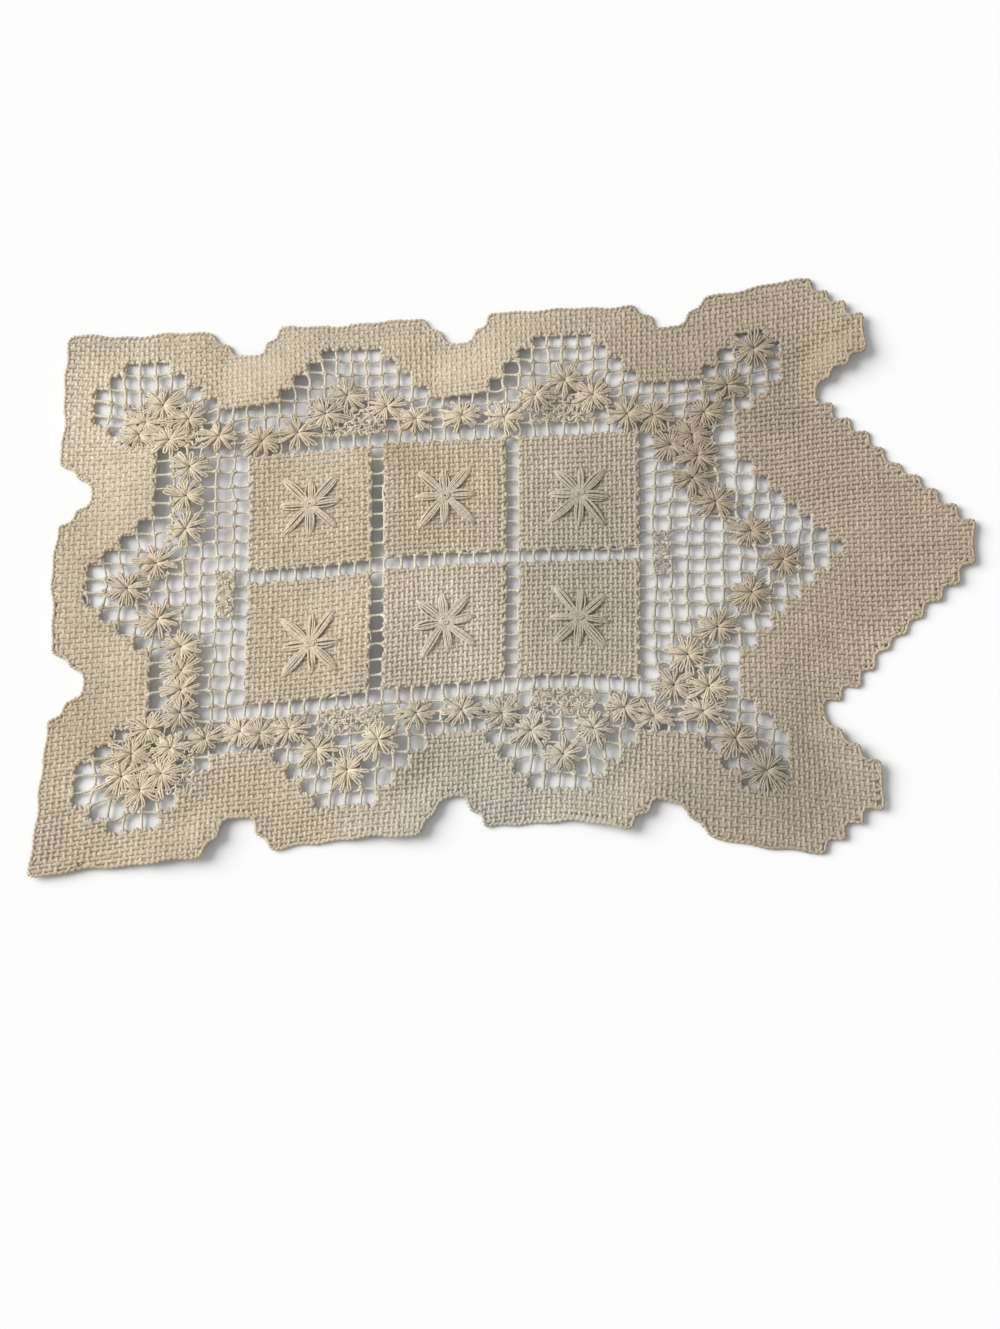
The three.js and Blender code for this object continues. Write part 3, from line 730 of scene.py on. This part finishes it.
# Column and row of the middle of each daisy: far left lobe, far chain, left end, near left lobe, near chain,
# near right lobe, point, far right lobe
daisies = (
    (-6.6, 11.9), (-7, 10.8), (-5.5, 13.3), (-5.1, 10.2), (-3.9, 11.9), (-2, 10.2), (-3.8, 8),
    (0.8, 9.6), (3.2, 10), (5.1, 11.3), (6.6, 12.7), (9.2, 11.7), (11.1, 10.5),
    (14.2, 10.5), (17, 10), (19.1, 11.7), (21.1, 12.8), (23, 11.5), (25.3, 9.8), (27, 9.6),
    (-4, 5.9), (-4, 3.6), (-5.8, 1.4), (-7.5, -0.3), (-5.6, -2.5), (-4.1, -4.5),
    (-4, -6.1), (-4, -7.4), (-4, -8.9),
    (-5.9, -9.8), (-2.4, -11), (-4.5, -11.4), (-6.8, -11.5), (-7.3, -13), (-5, -13.2), (-6.2, -14),
    (-0.2, -10.7), (1.1, -11), (3, -10.8), (4.9, -12.7), (7, -14.2), (8.9, -12.5), (11.3, -10.6),
    (14.3, -10.6), (17, -11.2), (19, -12.7), (21.2, -14.3), (23.1, -12.6), (25.1, -10.8), (27, -11.3),
    (28.2, -8.9), (30.2, -8.9), (29.9, -10.7), (31.7, -12.6), (33.5, -14.3),
    (29, -6.9), (30.7, -5.2), (32.7, -3.1), (34.8, -0.8), (32.7, 1.6), (30.7, 3.6), (29.4, 5.1), (29.7, 6.6),
    (28.1, 7.4), (29.4, 8), (30.1, 9.5), (31.5, 11.6), (33.2, 14.2),
)

# Knotted net, left bare between the darned parts. Half sizes in mm: threads half way between knots beside
# the squares, in the bands outside them and in the point past a column, then at their ends, and knots
net = dict(
    bar=0.52, bandBar=0.6, pointBar=0.75, pointFrom=26.5, end=1.2, endPower=3, bars=(0.85, 1.2),
    knot=0.66, knots=(0.8, 1.2), knotAlong=(-0.95, -0.6, 0, 0.6, 0.95), knotSlant=0.8, knotFlat=0.9,
    middle=0.85, sag=0.3, knotLift=0.1,  # mm above the cloth's underside, and from there
    bow=0.07, stray=0.055,  # meshes that threads bow sideways and knots stray
    gather=0.2, gatherReach=1.7,  # share and meshes by which a daisy draws knots in
    tone=0.05, samples=8, sides=5, knotSides=6,
)


def netKnots():
    # chart places of all knots: each strays a little, and the daisies beside it draw it in
    column, row = np.meshgrid(np.append(cellColumns, cellColumns[-1] + 1.0),
                              np.append(cellRows, cellRows[-1] + 1) - 0.5, indexing="ij")
    free = (padded[1:, 1:] & padded[:-1, 1:] & padded[1:, :-1] & padded[:-1, :-1]) * 1.0
    column = column + free * rng.normal(0, net["stray"], row.shape)
    row = row + free * rng.normal(0, net["stray"], row.shape)
    pullColumn, pullRow = np.zeros(row.shape), np.zeros(row.shape)
    for middle in daisies:
        east, north = middle[0] - column, middle[1] - row
        share = free * net["gather"] * np.exp(-(east**2 + north**2) / net["gatherReach"] ** 2)
        pullColumn += share * east
        pullRow += share * north
    return column + pullColumn, row + pullRow


def knottedNet():
    # threads from knot to knot, thinnest half way, bowed and sagging by 4 * s * (1 - s); each knot is a
    # short fat ellipsoid
    share = np.linspace(0, 1, net["samples"])
    arch = 4 * share * (1 - share)
    knotColumn, knotRow = netKnots()
    used = np.zeros(knotRow.shape, bool)
    tubes = []
    for alongRunner in (True, False):
        bars = padded[1:-1, 1:] | padded[1:-1, :-1]
        if not alongRunner:
            bars = padded[1:, 1:-1] | padded[:-1, 1:-1]
        k, m = np.nonzero(bars)
        nextK, nextM = k + alongRunner, m + (not alongRunner)
        used[k, m] = used[nextK, nextM] = True
        bow = rng.normal(0, net["bow"], (len(k), 1)) * arch
        column, row = (line[k, m][:, None] * (1 - share) + line[nextK, nextM][:, None] * share
                       for line in (knotColumn, knotRow))
        column, row = (column, row + bow) if alongRunner else (column + bow, row)
        inBand = np.clip(np.abs(row.mean(1, keepdims=True)) - chart["squareSide"], 0, 1)
        inPoint = np.clip(column.mean(1, keepdims=True) - net["pointFrom"], 0, 1)
        bar = net["bar"] + (net["bandBar"] - net["bar"]) * inBand
        bar = bar + (net["pointBar"] - bar) * inPoint
        size = bar + (net["end"] - bar) * np.abs(2 * share - 1) ** net["endPower"]
        size = size * rng.uniform(*net["bars"], (len(k), 1))
        path = place(column, row, net["middle"] - net["sag"] * arch)
        tubes.append(carry(path, size, size, net["sides"], tone=rng.normal(0, net["tone"], (len(k), 1))))
    makePiece("netThreads", tubes, netThread)
    along = np.array(net["knotAlong"])
    size = net["knot"] * rng.uniform(*net["knots"], (used.sum(), 1))
    slant = rng.normal(0, net["knotSlant"], (used.sum(), 1))
    column = knotColumn[used][:, None] + along * size / chart["meshPitch"]
    row = knotRow[used][:, None] + along * size * slant / chart["meshPitch"]
    half = size * np.sqrt(1 - along**2)
    path = place(column, row, net["middle"] + net["knotLift"])
    makePiece("netKnots", [carry(path, half, half * net["knotFlat"], net["knotSides"])], netThread)


knottedNet()

# Loop stitch: a thread that loops through the four sides of a mesh. Reach, petal and stray in meshes, the
# rest in mm; patches hold first and last column, nearest and farthest row, and how many loops fill a mesh
loopStitch = dict(
    reach=0.37, petal=0.13, leaves=4, stray=0.06, sizes=(0.8, 1.1), turn=0.5, waveTurn=3,
    half=0.32, wave=0.25, middle=1.2, samples=24, sides=5, tone=0.05,
)
loopPatches = (
    (5, 8, 10, 11, 3), (5, 8, -11, -10, 3), (19, 22, 10, 11, 3), (19, 22, -11, -10, 3),
    (-2, -2, -2, 0, 5), (27, 27, -1, 1, 2), (-8, -4, 10, 13, 2), (-8, -4, -14, -11, 2),
)


def loopedMeshes():
    # closed four-leaved curves: radius = reach + petal * cos(4 * angle), waving up and down as they cross
    column, row = cellMiddle
    turns = np.zeros(row.shape, int)
    for first, last, nearest, farthest, loops in loopPatches:
        within = (column > first) & (column < last + 1) & (row >= nearest) & (row <= farthest)
        turns[within & openCells] = loops
    column, row = (np.repeat(values.ravel(), turns.ravel()) for values in (column, row))
    column = column + rng.normal(0, loopStitch["stray"], row.shape)
    row = row + rng.normal(0, loopStitch["stray"], row.shape)
    angle = roundTurn(loopStitch["samples"])
    start = rng.normal(0, loopStitch["turn"], (len(row), 1))
    leaves = loopStitch["leaves"] * angle
    radius = loopStitch["reach"] * rng.uniform(*loopStitch["sizes"], (len(row), 1))
    radius = radius + loopStitch["petal"] * np.cos(leaves + start)
    height = loopStitch["middle"] + loopStitch["wave"] * np.cos(leaves + loopStitch["waveTurn"] * start)
    path = place(column[:, None] + radius * np.cos(angle), row[:, None] + radius * np.sin(angle), height)
    tone = rng.normal(0, loopStitch["tone"], (len(row), 1))
    loops = carry(path, loopStitch["half"], loopStitch["half"], loopStitch["sides"], tone=tone, closed=True)
    makePiece("loopStitch", [loops], flowerCotton)


loopedMeshes()


def loopedDaisies():
    # a loop runs out and back: distance = reach * sin(pi * t) to the power blunt, sideways = spread *
    # sin(2 * pi * t) plus a small wobble, height = straight from middle to tip plus an arch of
    # 4 * s * (1 - s); the pad is a flat ring that fills the middle, in the darker darning cotton toned
    # darker still, painted shade under the loops
    t = np.linspace(0, 1, daisy["samples"])
    middles = np.array(daisies)
    flowers, loops = len(middles), sum(ring[0] for ring in daisy["rings"])
    count = flowers * loops

    def perLoop(values):
        return np.tile(np.concatenate(values), flowers)[:, None]

    def perFlower(values):
        return np.repeat(values, loops)[:, None]

    def uneven(size):
        return rng.normal(0, size, (count, 1))

    def between(limits):
        return rng.uniform(*limits, (count, 1))

    turn = perLoop([(np.arange(many) + 0.5 * k) / many for k, (many, *rest) in enumerate(daisy["rings"])])
    shorter, higher = (perLoop([np.full(ring[0], ring[k]) for ring in daisy["rings"]]) for k in (1, 2))
    turn = turn * 2 * math.pi + perFlower(rng.normal(0, daisy["flowerTurn"], flowers))
    turn = turn + uneven(daisy["loopTurn"])
    size = perFlower(rng.uniform(*daisy["flowerSizes"], flowers)) * between(daisy["loopSizes"])
    reach = daisy["reach"] * size * shorter
    out = daisy["start"] + (reach - daisy["start"]) * np.sin(math.pi * t) ** daisy["blunt"]
    s = (out - daisy["start"]) / (reach - daisy["start"])
    wobble = np.sin(daisy["wobbleTurns"] * 2 * math.pi * t + uneven(daisy["wobbleStart"])) * s
    sideways = daisy["spread"] * between(daisy["loopSpreads"]) * np.sin(2 * math.pi * t)
    sideways = sideways + daisy["wobble"] * wobble
    arch = daisy["arch"] * between(daisy["loopArches"]) * 4 * s * (1 - s)
    height = daisy["middle"] + (daisy["tip"] - daisy["middle"]) * s + arch + higher
    height = height + uneven(daisy["loopLift"])
    angle = turn + uneven(daisy["loopBend"]) * s
    path = around(np.repeat(middles, loops, 0), out, sideways, angle, daisy["flatten"], height)
    tone = perFlower(rng.normal(0, daisy["flowerTone"], flowers)) + uneven(daisy["loopTone"])
    petals = carry(path, daisy["half"], daisy["half"], daisy["sides"], tone=tone)
    makePiece("loopedDaisies", [petals], flowerCotton)
    angle = roundTurn(daisy["padSamples"])
    path = around(middles, daisy["padRadius"], 0, angle, daisy["flatten"], daisy["padMiddle"])
    # painted shade: the pad is darker than the loops, as shade under them
    pads = carry(path, daisy["padHalf"], daisy["padTall"], daisy["padSides"], tone=daisy["padPaintedShade"],
                 closed=True)
    makePiece("daisyPads", [pads], darningCotton)


loopedDaisies()

# Stars: petals of long stitches side by side, one star on each square, with a tangled knot; sizes in mm
star = dict(
    straight=13.0, diagonal=17.2, petals=8, strands=6, gap=0.7, start=0.9, half=0.37, samples=9, sides=5,
    gathered=0.42, opening=1.6, closing=0.35,  # how a petal narrows at the knot, opens out and closes
    rounded=0.3,  # mm that outer strands are shorter, times their place squared
    top=1.95, dip=1.3, arch=0.5, knotRise=0.5, bow=0.3,
    turn=0.05, reaches=(0.9, 1.08), ragged=0.35, tone=0.04,
    knotLoops=7, knotReach=2.8, knotSizes=(0.35, 0.6), knotStray=0.45, knotFlat=0.8,
    knotMiddle=2.6, knotWave=0.3, knotSamples=12,
)
stars = ((4, 4.6), (13, 4.5), (22.1, 4.3), (4.1, -4.8), (13, -4.4), (22, -4.6))


def longStitchStars():
    # a strand runs straight out from the knot, its neighbours fanned beside it, and dips into the cloth at
    # its end; height = top + arch * sin(pi * t) - (top - dip) * t ** 6 + knotRise * (1 - t) ** 4
    t = np.linspace(0, 1, star["samples"])
    strands, petals = star["strands"], star["petals"]
    allPetals = len(stars) * petals
    count = allPetals * strands
    petal = np.tile(np.repeat(np.arange(petals), strands), len(stars))
    strand = np.tile(np.arange(strands), allPetals) - (strands - 1) / 2
    turn = petal * 2 * math.pi / petals
    turn = turn + np.repeat(rng.normal(0, star["turn"], len(stars)), petals * strands)
    turn = (turn + np.repeat(rng.normal(0, star["turn"], allPetals), strands))[:, None]
    reach = np.where(petal % 2, star["diagonal"], star["straight"])
    reach = reach * np.repeat(rng.uniform(*star["reaches"], allPetals), strands)
    reach = (reach - star["rounded"] * strand**2 + rng.normal(0, star["ragged"], count))[:, None]
    out = star["start"] + (reach - star["start"]) * t
    opened = np.sin(math.pi / 2 * np.minimum(t * star["opening"], 1))
    fan = (star["gathered"] + (1 - star["gathered"]) * opened) * (1 - star["closing"] * t**4)
    sideways = strand[:, None] * star["gap"] * fan
    sideways = sideways + star["bow"] * rng.normal(0, 1, (count, 1)) * np.sin(math.pi * t)
    height = (star["top"] + star["arch"] * np.sin(math.pi * t) - (star["top"] - star["dip"]) * t**6
              + star["knotRise"] * (1 - t) ** 4)
    middle = np.repeat(np.array(stars), petals * strands, 0)
    path = around(middle, out, sideways, turn, chart["rowStretch"], height)
    tone = rng.normal(0, star["tone"], (count, 1))
    tubes = [carry(path, star["half"], star["half"], star["sides"], tone=tone)]
    # the knot: small rings at random places and turns over the star's middle
    knots = star["knotLoops"] * len(stars)
    turn = rng.uniform(0, 2 * math.pi, (knots, 1))
    ring = star["knotReach"] * rng.uniform(*star["knotSizes"], (knots, 1))
    shift = rng.normal(0, star["knotStray"], (2, knots)).T / chart["meshPitch"]
    angle = roundTurn(star["knotSamples"]) + turn
    middle = np.repeat(np.array(stars), star["knotLoops"], 0) + shift
    height = star["knotMiddle"] + star["knotWave"] * np.sin(angle + 2 * turn)
    path = around(middle, ring, 0, angle, star["knotFlat"], height)
    tubes.append(carry(path, star["half"], star["half"], star["sides"], closed=True))
    makePiece("longStitchStars", tubes, starCotton)


longStitchStars()

print("runner made, cloth area", round(feltArea, 4))

# Table, light and camera; sunFrom points towards the light, and sunWidth is its size in degrees
stage = dict(size=12.0, colour="#f7f7f7", roughness=0.9, specular=0.1, ambient=0.42,
             sunFrom=(-1.05, 0.28, 0.74), sunWidth=42.0, sunStrength=3.55)


def paleTable():
    # one flat square, far wider than the picture
    half = stage["size"] / 2
    corners = [(-half, -half, 0), (half, -half, 0), (half, half, 0), (-half, half, 0)]
    mesh = bpy.data.meshes.new("paleTable")
    mesh.from_pydata(corners, [], [(0, 1, 2, 3)])
    table = addObject("paleTable", mesh)
    material, tree = newMaterial("paleTable")
    shader = addNode(tree, "BsdfPrincipled", {
        "Base Color": linear(stage["colour"]), "Roughness": stage["roughness"],
        "Specular IOR Level": stage["specular"]})
    addNode(tree, "OutputMaterial", {"Surface": shader})
    mesh.materials.append(material)


def softLight():
    # an even white surround, and a wide sun from the left that gives the soft shadows
    world = bpy.data.worlds.new("softLight")
    world.use_nodes = True
    surround = world.node_tree.nodes["Background"].inputs
    surround["Color"].default_value = (1, 1, 1, 1)
    surround["Strength"].default_value = stage["ambient"]
    bpy.context.scene.world = world
    lamp = bpy.data.lights.new("windowLight", "SUN")
    lamp.energy, lamp.angle = stage["sunStrength"], math.radians(stage["sunWidth"])
    holder = addObject("windowLight", lamp)
    holder.rotation_euler = (-Vector(stage["sunFrom"])).to_track_quat("-Z", "Y").to_euler()


# The picture is 1000 by 1329 pixels; the chart's origin falls on originPixel, and a mesh is meshPixels wide
# there. The focal length is in pixels and the elevation in degrees
picture = dict(width=1000, height=1329, focal=2460.0, elevation=78.0, originPixel=(508, 575),
               meshPixels=15.25)


def photographView():
    # the camera stands back from the chart's origin along its own view, by focal * pitch / pixels of a mesh
    lens = bpy.data.cameras.new("photographView")
    lens.sensor_width = 36
    lens.lens = picture["focal"] * lens.sensor_width / picture["height"]
    lens.clip_start = 0.01
    camera = addObject("photographView", lens)
    tilt = math.radians(picture["elevation"])
    forward, up = Vector((0, math.cos(tilt), -math.sin(tilt))), Vector((0, math.sin(tilt), math.cos(tilt)))
    across = (picture["originPixel"][0] - picture["width"] / 2) / picture["focal"]
    upward = (picture["height"] / 2 - picture["originPixel"][1]) / picture["focal"]
    depth = picture["focal"] * chart["meshPitch"] / picture["meshPixels"] * mm
    origin = Vector((-middleX * mm, -middleY * mm, 0))
    camera.location = origin - (Vector((1, 0, 0)) * across + up * upward + forward) * depth
    camera.rotation_euler = (math.pi / 2 - tilt, 0, 0)
    bpy.context.scene.camera = camera


paleTable()
softLight()
photographView()
bpy.context.scene.view_settings.view_transform = "Standard"
